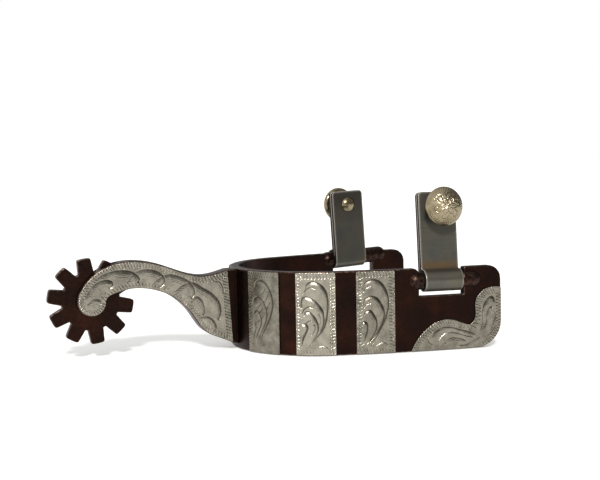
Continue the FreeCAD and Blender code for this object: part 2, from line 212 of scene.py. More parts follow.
def rounded(corners, steps=8):
    """Closed outline through (x, y, radius) corners."""
    points = []
    count = len(corners)
    for index, (x, y, radius) in enumerate(corners):
        corner = np.array([x, y], float)
        before = np.array(corners[index - 1][:2], float) - corner
        after = np.array(corners[(index + 1) % count][:2], float) - corner
        before /= norm(before)
        after /= norm(after)
        if radius == 0:
            points.append(corner)
            continue
        half = math.acos(np.clip(before @ after, -1, 1)) / 2
        middle = (before + after) / norm(before + after)
        centre = corner + middle * radius / math.sin(half)
        start = corner + before * radius / math.tan(half) - centre
        end = corner + after * radius / math.tan(half) - centre
        sweep = math.pi - 2 * half
        for t in np.linspace(0, 1, steps + 1):
            mix = (math.sin((1 - t) * sweep) * start + math.sin(t * sweep) * end) / math.sin(sweep)
            points.append(centre + mix)
    return np.array(points)


def soften(loop, radius, least=0.5):
    """The loop with each corner that turns more than `least` radians rounded off."""
    corners = []
    for index, point in enumerate(loop):
        before = loop[index - 1] - point
        after = loop[(index + 1) % len(loop)] - point
        lengths = norm(before), norm(after)
        turn = math.pi - math.acos(np.clip(before @ after / (lengths[0] * lengths[1]), -1, 1))
        room = 0.45 * min(lengths) / math.tan(turn / 2) if turn > least else 0
        corners.append((*point, min(radius, room)))
    return rounded(corners, 5)


def resample(loop, step):
    """The loop with its long edges divided and its near-duplicate points dropped."""
    kept = [loop[0]]
    for point in loop[1:]:
        if norm(point - kept[-1]) > 0.02:
            kept.append(point)
    if norm(kept[0] - kept[-1]) <= 0.02:
        kept.pop()
    points = []
    for start, end in zip(kept, kept[1:] + kept[:1]):
        pieces = max(1, math.ceil(norm(end - start) / step))
        points += [start + (end - start) * k / pieces for k in range(pieces)]
    return np.array(points)


def anticlockwise(loop):
    x, y = loop[:, 0], loop[:, 1]
    area = np.sum(x * np.roll(y, -1) - y * np.roll(x, -1))
    return loop if area > 0 else loop[::-1]


def inset(loop, distance):
    """The loop moved to its left, which is inward for an anticlockwise one."""
    after = np.roll(loop, -1, 0) - loop
    after /= norm(after, axis=1)[:, None]
    before = np.roll(after, 1, 0)
    normals = [np.stack([-d[:, 1], d[:, 0]], axis=1) for d in (before, after)]
    share = 1 + np.sum(before * after, axis=1)
    return loop + distance * (normals[0] + normals[1]) / np.maximum(share, 0.3)[:, None]


def flat_loops(node, project, level):
    """Boundary loops of a CAD node's face at a level of its third projected coordinate."""
    mesh = frame["nodes"][node].data
    points = np.array([v.co for v in mesh.vertices]) / MM
    first, second, third = project(points)
    keys = [(round(float(a), 3), round(float(b), 3)) for a, b in zip(first, second)]
    on_level = np.abs(third - level) < 0.02
    edges = set()
    for polygon in mesh.polygons:
        corners = list(polygon.vertices)
        if all(on_level[c] for c in corners):
            for start, end in zip(corners, corners[1:] + corners[:1]):
                edges.add((keys[start], keys[end]))
    following = {start: end for start, end in edges if (end, start) not in edges and start != end}
    loops = []
    while following:
        start, point = following.popitem()
        loop = [start]
        while point != start:
            loop.append(point)
            point = following.pop(point)
        loops.append(np.array(loop))
    return sorted(loops, key=len, reverse=True)


def in_parts(points, test):
    """Result of a test of points that is made on some of them at a time."""
    return np.concatenate([test(points[k:k + PART]) for k in range(0, len(points), PART)])


def inside(points, loops):
    """True for each point that lies inside the loops, holes left out."""
    starts = np.concatenate(loops)
    ends = np.concatenate([np.roll(loop, -1, 0) for loop in loops])
    rise = ends[:, 1] - starts[:, 1]
    rise[rise == 0] = 1e-12

    def crossed_oddly(p):
        spans = (starts[:, 1] > p[:, 1:2]) != (ends[:, 1] > p[:, 1:2])
        cross = starts[:, 0] + (ends[:, 0] - starts[:, 0]) * (p[:, 1:2] - starts[:, 1]) / rise
        return np.sum(spans & (p[:, 0:1] < cross), axis=1) % 2 == 1

    return in_parts(points, crossed_oddly)


def clear_of(points, loops, gap):
    """True for each point further than the gap from every loop vertex."""
    edge = np.concatenate(loops)

    def clear(p):
        squares = (p[:, 0:1] - edge[:, 0]) ** 2 + (p[:, 1:2] - edge[:, 1]) ** 2
        return np.min(squares, axis=1) > gap * gap

    return in_parts(points, clear)


# ---- plates ----

def filled(loops, spacing):
    """Inner points and triangles that fill the loops; indices count the loops' own points first."""
    edge = np.concatenate(loops)
    low, high = edge.min(0), edge.max(0)
    lines = [np.arange(low[k] + spacing / 2, high[k], spacing) for k in (0, 1)]
    grid = np.stack(np.meshgrid(*lines), axis=-1).reshape(-1, 2)
    grid = grid[inside(grid, loops)]
    grid = grid[clear_of(grid, loops, spacing * 0.6)]
    points = np.concatenate([edge, grid])
    sides = []
    base = 0
    for loop in loops:
        count = len(loop)
        sides += [(base + k, base + (k + 1) % count) for k in range(count)]
        base += count
    made = delaunay_2d_cdt([Vector(p) for p in points], sides, [], 0, 1e-7)
    source = [ids[0] if ids else -1 for ids in made[3]]
    triangles = np.array([[source[i] for i in face] for face in made[2]])
    triangles = triangles[np.all(triangles >= 0, axis=1)]
    centres = points[triangles].mean(axis=1)
    return grid, triangles[inside(centres, loops)]


def rounding(radius, half, steps=4):
    """Section of a plate's rounded edge as (inset, height, rubbed share) from its front face to its back; the
    share, highest halfway round the edge, is rubbed steel with a painted edge highlight on top.
    """
    rows = [(radius + EDGE_HOLD, half, 0.0)]
    for k in range(steps + 1):
        turn = math.pi / 2 * k / steps
        # the rubbed share peaks halfway round the edge, where it also paints an edge highlight
        wear_and_sheen = math.sin(turn * 2) * 0.6 + 0.4
        rows.append((radius * (1 - math.sin(turn)), half - radius * (1 - math.cos(turn)), wear_and_sheen))
    return rows + [(margin, -height, wear_and_sheen) for margin, height, wear_and_sheen in reversed(rows)]


def plate(loops, section, spacing, back_spacing, relief=None):
    """Vertices (u, v, w), faces, rubbed-edge values with their painted edge highlight, and cut values of a plate
    with a rounded edge and a relief.
    """
    flat = []
    heights = []
    wear_and_sheen = []
    faces = []
    sizes = [len(loop) for loop in loops]
    ring = sum(sizes)
    for depth, height, rubbed_and_sheen in section:
        flat += [inset(loop, depth) for loop in loops]
        heights.append(np.full(ring, height))
        wear_and_sheen.append(np.full(ring, rubbed_and_sheen))
    for k in range(len(section) - 1):
        base = k * ring
        for size in sizes:
            for i in range(size):
                a, b = base + i, base + (i + 1) % size
                faces.append((b, a, a + ring, b + ring))
            base += size
    shift = len(section) * ring
    for row, gap, first, order in ((0, spacing, 0, 1), (-1, back_spacing, shift - ring, -1)):
        depth, height, _ = section[row]
        grid, triangles = filled([inset(loop, depth) for loop in loops], gap)
        moved = np.where(triangles >= ring, triangles - ring + shift, triangles + first)
        faces += [tuple(int(i) for i in t[::order]) for t in moved]
        flat.append(grid)
        heights.append(np.full(len(grid), height))
        wear_and_sheen.append(np.zeros(len(grid)))
        shift += len(grid)
    flat = np.concatenate(flat)
    heights = np.concatenate(heights)
    wear_and_sheen = np.concatenate(wear_and_sheen)
    cut = np.zeros(len(flat))
    if relief is not None:
        top = section[0][1]
        upper = heights > top - RELIEF_FADE
        depth = relief(flat[upper])
        share = np.clip(1 - (top - heights[upper]) / RELIEF_FADE, 0, 1)
        heights[upper] -= depth * share
        cut[upper] = depth * share
    return np.column_stack([flat, heights]), faces, wear_and_sheen, cut


def lathe(profile, segments):
    """Vertices, faces and rubbed-edge values of (along, radius, rubbed-edge value) rows turned about the first
    axis, ends closed; the values also carry a painted edge highlight.
    """
    turns = np.arange(segments) * 2 * math.pi / segments
    points = []
    wear_and_sheen = []
    faces = []
    for along, radius, rubbed_and_sheen in profile:
        points += [(along, radius * math.cos(t), radius * math.sin(t)) for t in turns]
        wear_and_sheen += [rubbed_and_sheen] * segments
    for k in range(len(profile) - 1):
        for i in range(segments):
            a, b = k * segments + i, k * segments + (i + 1) % segments
            faces.append((a, b, b + segments, a + segments))
    for k, row in ((0, profile[0]), (len(profile) - 1, profile[-1])):
        centre = len(points)
        points.append((row[0], 0.0, 0.0))
        wear_and_sheen.append(row[2])
        for i in range(segments):
            faces.append((centre, k * segments + i, k * segments + (i + 1) % segments))
    return np.array(points), faces, np.array(wear_and_sheen)


# ---- pieces ----

def added(name, data):
    """A new object in the scene."""
    made = bpy.data.objects.new(name, data)
    bpy.context.scene.collection.objects.link(made)
    return made


def piece(name, body, nodes, look, points, faces, wear_and_sheen=None, cut=None, scale=None):
    """A mesh piece from points in millimetres, riding a body and standing for CAD nodes."""
    mesh = bpy.data.meshes.new(name)
    mesh.from_pydata((np.asarray(points) * MM).tolist(), [], faces)
    for label, values in (("wear_and_sheen", wear_and_sheen), ("cut", cut), ("scale", scale)):
        attribute = mesh.attributes.new(label, "FLOAT", "POINT")
        data = np.zeros(len(points)) if values is None else values
        attribute.data.foreach_set("value", np.asarray(data, np.float32))
    work = bmesh.new()
    work.from_mesh(mesh)
    bmesh.ops.recalc_face_normals(work, faces=work.faces)
    work.to_mesh(mesh)
    work.free()
    mesh.polygons.foreach_set("use_smooth", np.ones(len(mesh.polygons), bool))
    mesh.materials.append(look)
    made = added(name, mesh)
    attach(made, body)
    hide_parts(*nodes)
    return made


# ---- engraving ----

def smooth_line(points, count=48):
    """Catmull-Rom curve through the points."""
    points = np.array(points, float)
    padded = np.concatenate([2 * points[:1] - points[1:2], points, 2 * points[-1:] - points[-2:-1]])
    line = []
    for t in np.linspace(0, len(points) - 1 - 1e-9, count):
        k = int(t)
        f = t - k
        a, b, c, d = padded[k:k + 4]
        line.append(0.5 * (2 * b + (c - a) * f + (2 * a - 5 * b + 4 * c - d) * f * f
                           + (3 * b - a - 3 * c + d) * f ** 3))
    return np.array(line)


def graver_cut(field, points, line, depth, inner, outer=0.18, start=0.35, end=0.25):
    """Deepen the field along a line: a wide slope on the left of its direction, a steep one on the right.

    Start and end are the shares of the line over which the cut swells and fades.
    """
    reach = max(inner, outer)
    low, high = line.min(0) - reach, line.max(0) + reach
    near = np.where(np.all((points > low) & (points < high), axis=1))[0]
    if len(near) == 0:
        return
    p = points[near]
    begin, stop = line[:-1], line[1:]
    span = stop - begin
    square = np.maximum(np.sum(span ** 2, axis=1), 1e-12)
    offset = p[:, None, :] - begin[None]
    t = np.clip(np.sum(offset * span[None], axis=2) / square, 0, 1)
    gap = offset - t[:, :, None] * span[None]
    distance = np.hypot(gap[:, :, 0], gap[:, :, 1])
    best = np.argmin(distance, axis=1)
    rows = np.arange(len(p))
    away = distance[rows, best]
    along = (best + t[rows, best]) / len(span)
    turn = span[best, 0] * offset[rows, best, 1] - span[best, 1] * offset[rows, best, 0]
    swell = np.clip(along / start, 0, 1) * np.clip((1 - along) / end, 0, 1)
    swell = np.sqrt(swell) * (2 - np.sqrt(swell))
    width = np.where(turn > 0, inner, outer) * (0.25 + 0.75 * swell)
    profile = np.clip(1 - away / width, 0, 1)
    profile = np.where(turn > 0, profile ** 1.15, profile)
    field[near] = np.maximum(field[near], depth * swell * profile)


def border(field, points, line, closed=True, period=BORDER_PERIOD, rows=BORDER_ROWS, depth=BORDER_DEPTH):
    """Walked-graver border: a zigzag between two rows of pits, on the left of a line."""
    path = np.concatenate([line, line[:1]]) if closed else line
    steps = norm(np.diff(path, axis=0), axis=1)
    length = np.concatenate([[0], np.cumsum(steps)])

    def at(distance):
        return np.stack([np.interp(distance, length, path[:, k]) for k in (0, 1)], axis=1)

    count = max(2, int(length[-1] / (period / 2)))
    places = np.linspace(0, length[-1], count + 1)
    along = at(np.minimum(places + 0.3, length[-1])) - at(np.maximum(places - 0.3, 0))
    along /= np.maximum(norm(along, axis=1), 1e-9)[:, None]
    inward = np.stack([-along[:, 1], along[:, 0]], axis=1)
    offsets = np.where(np.arange(count + 1) % 2 == 0, rows[0], rows[1])
    offsets += HAND.uniform(-0.08, 0.08, count + 1)
    turns = at(places) + inward * offsets[:, None]
    for k in range(count):
        stroke = np.linspace(turns[k], turns[k + 1], 4)
        graver_cut(field, points, stroke, depth * HAND.uniform(0.75, 1.1), 0.28, 0.28, 0.2, 0.2)
    for k, pit in enumerate(turns):
        radius = PIT_RADII[k % 2]
        near = np.where(np.all(np.abs(points - pit) < radius, axis=1))[0]
        distance = np.hypot(*(points[near] - pit).T)
        dip = PIT_DEPTH * np.clip(1 - distance / radius, 0, 1) ** 0.8
        field[near] = np.maximum(field[near], dip)


def leaf(field, points, outline, depth, width, start=0.35, end=0.25):
    """One leaf: a flaring cut along its back, then barbs and shading lines inside it."""
    line = smooth_line(outline, 60)
    graver_cut(field, points, line, depth, width, 0.18, start, end)
    along = np.gradient(line, axis=0)
    along /= norm(along, axis=1)[:, None]
    inward = np.stack([-along[:, 1], along[:, 0]], axis=1)
    steps = np.concatenate([[0], np.cumsum(norm(np.diff(line, axis=0), axis=1))])
    for place in np.arange(1.6, steps[-1] - 0.8, 0.85):
        k = int(np.searchsorted(steps, place))
        root = line[k] + inward[k] * width * 0.35
        tip = line[k] + inward[k] * width * 0.95 - along[k] * width * 0.75
        graver_cut(field, points, np.linspace(root, tip, 3), 0.11, 0.17, 0.17, 0.3, 0.6)
    for k in range(2):
        part = slice(8 + 3 * k, len(line) - 14 - 4 * k)
        offset = width * (1.0 + 0.32 * k)
        graver_cut(field, points, line[part] + inward[part] * offset, 0.09, 0.2, 0.12)


# short strokes between the curls of the heel bar's plume
HEEL_STROKES = [
    [(5, 12.2), (6.6, 13.2), (8.2, 14.8)], [(4.4, 14.6), (6.2, 15.8), (7.8, 17.6)],
    [(4.2, 17.2), (6, 18.4), (7.4, 20)], [(8.8, 16.8), (10.2, 18.4), (11.3, 20.6)],
    [(8.2, 19.8), (9.6, 21.4), (10.6, 23.4)], [(6.8, 22.4), (8.2, 23.8), (9.2, 25.6)],
]
# plumes of the three bars: lines of (across from the heel side, height), depth and width
HEEL_PLUME = [
    ([(6, 4.4), (7.8, 8), (9.8, 11.4), (11.6, 15), (12.5, 18.8), (12.2, 22), (11.2, 24.6), (9.4, 27.2),
      (6.8, 28.2), (4.6, 27.4), (3.6, 25.4)], 0.43, 1.36),
    ([(4.8, 4.4), (6.8, 8), (9, 12), (9.8, 15), (9.3, 17.8), (7.8, 20.4), (5.6, 21.8), (3.4, 21),
      (2.7, 18.8)], 0.41, 1.2),
    ([(3.6, 4.6), (5, 7.6), (6.7, 10.6), (7.1, 13), (6.2, 15.4), (4.4, 16.6), (2.9, 15.6)], 0.41, 1.12),
    ([(2.4, 4.4), (3.2, 7), (4.1, 9.4), (3.9, 11.2), (2.7, 11.9)], 0.39, 1.04),
    ([(6.6, 2.9), (8.6, 3.7), (10.6, 3.6), (12, 2.7)], 0.18, 0.7),
] + [(line, 0.28, 0.6) for line in HEEL_STROKES]
MIDDLE_PLUME = [
    ([(4, 3), (8, 7.2), (10.8, 10.9), (12.1, 16.5), (12.2, 21.5), (11.2, 25.2), (8.7, 27.6), (6.1, 28.2),
      (4.2, 27.2), (3.4, 25)], 0.45, 1.44),
    ([(7.5, 5.6), (9.4, 9.3), (10.6, 12.7), (10.4, 16.7), (9.2, 18.9), (7.2, 21), (4.7, 22.4), (2.6, 22.2),
      (2, 19.6), (2.9, 17.4)], 0.43, 1.28),
    ([(5.3, 4), (8.1, 8.8), (8.5, 11.4), (7.7, 14), (6.4, 15.7), (5.1, 16.9), (3.6, 16.8),
      (3, 15.2)], 0.43, 1.2),
    ([(2.1, 3.4), (2.9, 6.6), (4.3, 9.5), (4.6, 11.2), (3.6, 12.4), (2.2, 12.1)], 0.47, 1.52),
    ([(6.5, 2.9), (9, 3.8), (11, 3.6), (12.2, 2.7)], 0.18, 0.7),
    ([(3, 23.6), (4.2, 25.2), (6, 25.9), (7.4, 25.4)], 0.4, 0.9),
    ([(2.4, 15.8), (3.3, 17.6), (5, 18.6), (6.6, 18.2)], 0.4, 0.9),
    ([(3.4, 11.4), (4.4, 12.9), (6, 13.4)], 0.4, 0.8),
    ([(5.8, 7.6), (7, 9.6), (7.4, 11.4), (6.6, 12.6)], 0.34, 0.9),
    ([(9, 11.4), (9.4, 14.2), (8.6, 16.6)], 0.3, 0.8),
]
FRONT_PLUME = [
    ([(5.8, 3.2), (7.2, 5.4), (9, 8.6), (10.9, 12.1), (12.3, 16.4), (12.7, 19.9), (12, 23.4), (10.3, 26.6),
      (8, 28.2), (5.2, 28.3), (3.2, 27), (2.4, 24.8)], 0.43, 1.36),
    ([(4.6, 4), (7.2, 7), (9.3, 10), (10.7, 13.4), (10.9, 16.2), (9.8, 19), (8, 21.4), (5.4, 22.2),
      (3.2, 21), (2.6, 18.8)], 0.43, 1.28),
    ([(3.6, 3.8), (5.8, 6), (7.7, 9.2), (8, 12.4), (6.9, 15), (5.4, 16.8), (3.5, 16.4),
      (2.7, 14.6)], 0.43, 1.2),
    ([(2.4, 3.6), (3.6, 6.6), (4.4, 9.6), (4.2, 11.8), (3, 12.6), (2.1, 11.8)], 0.43, 1.2),
    ([(6.8, 2.8), (8.6, 3.9), (10.4, 4.3), (12, 3.5)], 0.2, 0.8),
    ([(2.6, 23.4), (3.8, 25.2), (5.6, 25.8)], 0.38, 0.8),
    ([(2.8, 17.6), (4, 19), (5.8, 19.4)], 0.34, 0.7),
]
PLUMES = {"heel": HEEL_PLUME, "middle": MIDDLE_PLUME, "front": FRONT_PLUME}
# scrolls along the shank, in (x, z)
SHANK_LEAVES = [
    ([(-60.8, 21.2), (-59.6, 22.6), (-57.8, 23.2), (-56, 22.8), (-55.4, 21.6), (-56, 20.2)], -0.3, 1.3),
    ([(-61.6, 23.4), (-60.4, 25.8), (-58.2, 28.4), (-55.2, 29.9), (-52.6, 30.1), (-51, 29.2), (-50.8, 27.8),
      (-52, 26.6)], -0.36, 1.8),
    ([(-58.6, 29.8), (-54.7, 32.2), (-50.6, 33.3), (-47, 33.5), (-43.9, 32.9), (-41.6, 31.5), (-40.5, 29.8),
      (-41, 28.2)], -0.36, 1.9),
    ([(-45.6, 28.6), (-43.2, 31.8), (-39.6, 33.3), (-35.6, 33.1), (-32.6, 31.7), (-30.9, 29.5),
      (-31.2, 27.4), (-32.8, 26)], -0.34, 1.8),
    ([(-36.6, 26.6), (-33.4, 29.6), (-29.4, 31), (-25, 29.9), (-21.4, 27.9), (-19.4, 25.1), (-19.2, 22.9),
      (-20.4, 20.9)], -0.34, 1.8),
    ([(-27.4, 24), (-24, 26.6), (-20, 27.4), (-15.8, 25), (-12, 22.4), (-9.4, 19.2), (-8.6, 15.5),
      (-9.6, 11.7)], -0.34, 1.7),
    ([(-21.4, 19.6), (-18.8, 21.8), (-16.6, 20.6), (-15.4, 17.6), (-15.6, 14.2)], -0.3, 1.3),
    ([(-17, 13.4), (-14.4, 13.8), (-11.8, 12), (-10.6, 9.2), (-11.6, 7.4)], -0.3, 1.2),
    ([(-11.4, 27.4), (-9, 27), (-7.6, 24.6), (-7.4, 22)], -0.2, 0.8),
]
# leaves of the corner plate, in (length along the band, height)
CORNER_LEAVES = [
    ([(106.2, 6.6), (107.2, 9.4), (107.4, 12.3), (107.5, 14.3), (108.1, 16.6), (109.4, 18.6), (111.1, 19.8),
      (112.5, 19.2), (113, 17.6)], -0.38, 1.2),
    ([(107.6, 7.4), (109, 10), (109.3, 12.6), (109.9, 14.6), (111, 15.7), (112, 15.2)], -0.36, 1),
    ([(110.8, 6.2), (112, 9.6), (113.1, 12), (112.7, 14)], -0.3, 0.8),
    ([(109.4, 4.6), (111.6, 6.4), (113.4, 9)], -0.26, 0.7),
    ([(104.6, 5.4), (102.2, 6.6), (99.2, 7.5), (97.3, 8), (95, 8.8), (92.1, 9.1), (89.6, 8.6), (87.4, 7.2),
      (86.3, 5.4)], 0.24, 0.9),
    ([(103.4, 4.4), (100.6, 5), (97.6, 6), (94.6, 6.7), (91.8, 6.3), (90, 5.1), (89.2, 3.6)], -0.26, 0.8),
    ([(100.4, 3.2), (98.9, 4), (96.2, 4.7), (94.1, 4.7), (92.2, 3.8), (91.6, 2.6)], 0.24, 0.7),
    ([(86.9, 2.2), (85.4, 3.4), (84.6, 5), (85.4, 6.4)], -0.24, 0.7),
    ([(106.4, 4.3), (103.7, 3.2), (100.8, 1.9), (97.6, 1.7)], 0.24, 0.6),
]


def engraved(leaves, edge, closed):
    """Relief function of a silver facing: leaves in a walked-graver border.

    A leaf is (line, depth, width); a negative depth cuts it from its far end, tapering all the way.
    """
    def relief(points):
        field = np.zeros(len(points))
        for shape, depth, width in leaves:
            if depth < 0:
                leaf(field, points, shape[::-1], -depth, width, 0.12, 0.8)
            else:
                leaf(field, points, shape, depth, width)
        border(field, points, edge, closed)
        ripple = np.sin(points[:, 0] * 5.1 + 2 * np.sin(points[:, 1] * 3.3))
        ripple *= np.sin(points[:, 1] * 4.7 + 2 * np.sin(points[:, 0] * 2.9))
        return field + 0.008 * ripple
    return relief


# ---- materials ----

# rubbed steel, which on rounded edges also paints an edge highlight
RUBBED_AND_SHEEN_STEEL = (0.24, 0.155, 0.12)
STRAW_TINT = (0.15, 0.085, 0.032)
# dark steel of the hanger's painted shade and of its darker top
PAINTED_SHADE_STEEL = (0.018, 0.014, 0.012)
# pale steel of the hanger's rubbed edges and painted top-rim highlight
BRIGHT_STEEL = (0.42, 0.39, 0.35)


def material(name):
    """A new material with its node tree and shader."""
    made = bpy.data.materials.new(name)
    made.use_nodes = True
    tree = made.node_tree
    shader = tree.nodes["Principled BSDF"]
    return made, tree, shader


def connect(tree, made, inputs):
    """Inputs of a node: a socket is linked, a constant is set."""
    for key, value in inputs.items():
        if isinstance(value, bpy.types.NodeSocket):
            tree.links.new(value, made.inputs[key])
        else:
            made.inputs[key].default_value = value


def node(tree, kind, inputs=None, **settings):
    """A node with its settings and inputs."""
    made = tree.nodes.new("ShaderNode" + kind)
    for key, value in settings.items():
        setattr(made, key, value)
    connect(tree, made, inputs or {})
    return made


def millimetres(tree, stretch=(1, 1, 1)):
    """Object coordinates in millimetres, stretched."""
    place = node(tree, "TexCoord").outputs["Object"]
    scale = tuple(s / MM for s in stretch)
    return node(tree, "VectorMath", {0: place, 1: scale}, operation="MULTIPLY").outputs[0]


def noise(tree, place, scale, detail=4.0, roughness=0.55):
    """Noise over a place; the scale is in features a millimetre."""
    inputs = {"Vector": place, "Scale": scale, "Detail": detail, "Roughness": roughness}
    return node(tree, "TexNoise", inputs).outputs["Fac"]


def painted(tree, label):
    """Value of a vertex attribute."""
    return node(tree, "Attribute", attribute_name=label).outputs["Fac"]


def ramp(tree, value, stops):
    """Colour ramp through (place, colour) stops; a colour may be one grey level."""
    made = node(tree, "ValToRGB", {"Fac": value})
    elements = made.color_ramp.elements
    while len(elements) < len(stops):
        elements.new(0.5)
    for element, (place, colour) in zip(elements, stops):
        element.position = place
        if isinstance(colour, (int, float)):
            colour = (colour, colour, colour)
        element.color = (*colour, 1.0)
    return made.outputs["Color"]


def mixed(tree, share, first, second, blend="MIX"):
    """Two colours mixed by a share; each of the three is a socket or a constant."""
    colours = [(*c, 1.0) if isinstance(c, tuple) else c for c in (first, second)]
    inputs = {0: share, 6: colours[0], 7: colours[1]}
    return node(tree, "Mix", inputs, data_type="RGBA", blend_type=blend).outputs[2]


def math_node(tree, first, second, operation="MULTIPLY", clamp=False):
    """Product of two values, or the result of another operation."""
    return node(tree, "Math", {0: first, 1: second}, operation=operation, use_clamp=clamp).outputs[0]


def bump(tree, shader, layers):
    """Chain of bump nodes from (height, strength, distance in mm) layers."""
    normal = None
    for height, strength, distance in layers:
        inputs = {"Height": height, "Strength": strength, "Distance": distance * MM}
        if normal is not None:
            inputs["Normal"] = normal
        normal = node(tree, "Bump", inputs).outputs["Normal"]
    connect(tree, shader, {"Normal": normal})


def browned_steel():
    made, tree, shader = material("browned_steel")
    place = millimetres(tree)
    patches = noise(tree, place, 0.09, 5.0)
    grain = noise(tree, place, 1.6, 6.0, 0.65)
    pits = noise(tree, place, 5.0, 3.0)
    scratches = noise(tree, millimetres(tree, (0.25, 0.25, 5.0)), 1.2, 2.0)
    base = ramp(tree, patches, [(0.35, (0.0095, 0.0038, 0.0023)), (0.55, (0.0165, 0.0052, 0.0028)),
                                (0.75, (0.032, 0.0085, 0.0040))])
    speckle = ramp(tree, grain, [(0.3, 0.55), (0.6, 1.15)])
    tinted = mixed(tree, 0.8, base, speckle, "MULTIPLY")
    # rubbed edges with a painted edge highlight, broken up in patches and mixed with the scratches
    wear_and_sheen = painted(tree, "wear_and_sheen")
    patchy = ramp(tree, noise(tree, place, 0.7, 5.0, 0.7), [(0.42, 0.0), (0.62, 1.0)])
    rubbed_and_sheen = math_node(tree, wear_and_sheen, patchy)
    scored = ramp(tree, scratches, [(0.66, 0.0), (0.74, 1.0)])
    shown = math_node(tree, math_node(tree, rubbed_and_sheen, 0.55), math_node(tree, scored, 0.05), "ADD", True)
    colour = mixed(tree, shown, tinted, RUBBED_AND_SHEEN_STEEL)
    gloss = ramp(tree, grain, [(0.25, 0.26), (0.75, 0.45)])
    connect(tree, shader, {"Base Color": colour, "Metallic": 0.97, "Roughness": gloss,
                           "Coat Weight": 0.07, "Coat Roughness": 0.34})
    bump(tree, shader, [(pits, 0.25, 0.05), (grain, 0.5, 0.12), (scored, 0.15, 0.03)])
    return made


def engraved_silver(name, pale, tarnish, patina, gloss, darkening):
    """Nickel silver: pale by a share given to each point, tarnished in patches, dark in the cuts.

    Here the attribute that marks rubbed steel elsewhere holds each point's share of pale silver, and the cut
    attribute the depth of its relief.
    """
    made, tree, shader = material(name)
    place = millimetres(tree)
    cloud = noise(tree, place, 0.35, 5.0)
    fine = noise(tree, place, 3.2, 4.0, 0.6)
    polish = noise(tree, millimetres(tree, (1.0, 1.0, 0.2)), 7.0, 2.0)
    paleness = painted(tree, "wear_and_sheen")
    clouded = ramp(tree, cloud, [(0.35, 0.0), (0.65, 0.5)])
    share = math_node(tree, math_node(tree, paleness, 0.75), clouded, "ADD", True)
    surface = mixed(tree, share, tarnish, pale)
    streaks = ramp(tree, fine, [(0.3, 0.78), (0.6, 1.0)])
    softened = mixed(tree, 0.7, surface, streaks, "MULTIPLY")
    cut = painted(tree, "cut")
    deep = ramp(tree, math_node(tree, cut, darkening), [(0.42, 0.0), (0.95, 1.0)])
    dark = math_node(tree, deep, ramp(tree, fine, [(0.3, 1.0), (0.7, 0.75)]))
    colour = mixed(tree, dark, softened, patina)
    rough = ramp(tree, cloud, [(0.3, gloss[0]), (0.7, gloss[1])])
    connect(tree, shader, {"Base Color": colour, "Metallic": 1.0, "Roughness": rough})
    bump(tree, shader, [(fine, 0.5, 0.07), (polish, 0.2, 0.03)])
    return made


def brushed_steel():
    """Plain steel brushed across the hanger, straw tinted at its bend, with painted shade darkening and dulling
    its sides, inner face and crease, and darker towards its top.

    Here the cut attribute holds the heat tint of the bend, and the scale attribute the painted shade.
    """
    made, tree, shader = material("brushed_hanger_steel")
    place = millimetres(tree)
    tint = noise(tree, place, 0.13, 3.0)
    brush = noise(tree, millimetres(tree, (0.12, 0.12, 6.0)), 1.4, 3.0)
    grain = noise(tree, place, 4.0, 4.0)
    base = ramp(tree, tint, [(0.3, (0.080, 0.081, 0.072)), (0.5, (0.098, 0.093, 0.076)),
                             (0.7, (0.115, 0.098, 0.072))])
    # rubbed edges and a painted highlight on the top rim
    wear_and_sheen = painted(tree, "wear_and_sheen")
    heat = painted(tree, "cut")
    # painted shade of the strap's sides, inner face and crease, and a darkening towards its top
    scale = painted(tree, "scale")
    tinted = mixed(tree, math_node(tree, heat, 0.7), base, STRAW_TINT)
    shade_painted = mixed(tree, scale, tinted, PAINTED_SHADE_STEEL)
    colour = mixed(tree, math_node(tree, wear_and_sheen, 0.8), shade_painted, BRIGHT_STEEL)
    rough = ramp(tree, brush, [(0.3, 0.25), (0.7, 0.42)])
    dull = mixed(tree, scale, rough, (0.8, 0.8, 0.8))
    connect(tree, shader, {"Base Color": colour, "Metallic": 0.75, "Roughness": dull})
    bump(tree, shader, [(brush, 0.2, 0.03), (grain, 0.12, 0.02)])
    return made


STEEL = browned_steel()
SILVER = engraved_silver(
    "engraved_silver", pale=(0.39, 0.362, 0.30), tarnish=(0.128, 0.118, 0.092),
    patina=(0.045, 0.038, 0.027), gloss=(0.20, 0.32), darkening=2.9)
BUTTON_SILVER = engraved_silver(
    "button_silver", pale=(0.44, 0.385, 0.27), tarnish=(0.20, 0.155, 0.085),
    patina=(0.075, 0.055, 0.027), gloss=(0.18, 0.30), darkening=3.8)
HANGER_STEEL = brushed_steel()


def steel_piece(name, body, replaced, points, faces, wear_and_sheen):
    return piece(name, body, [replaced], STEEL, points, faces, wear_and_sheen)


def silver_piece(name, replaced, points, faces, polish, cut):
    # the piece's share of pale silver
    wear_and_sheen = np.full(len(cut), polish)
    return piece(name, "frame", [replaced], SILVER, points, faces, wear_and_sheen, cut)


# ---- heel band and knuckles ----

def branch_edge(side):
    """Upper outline of one branch in (length, height), from its end back to the heel."""
    rear, front = [length_at_x(x) for x in NOTCHES[side]]
    end = length_at_x(BRANCH_REACH)
    return [
        (end, 0, BOTTOM_CORNER),
        (end, BAND_HEIGHT, TOP_CORNER),
        (front, BAND_HEIGHT, NOTCH_FRONT_ROUNDING),
        (front, NOTCH_FLOOR, 0.4),
        (rear, NOTCH_FLOOR, 0.4),
        (rear, BAND_HEIGHT, NOTCH_REAR_ROUNDING),
    ]


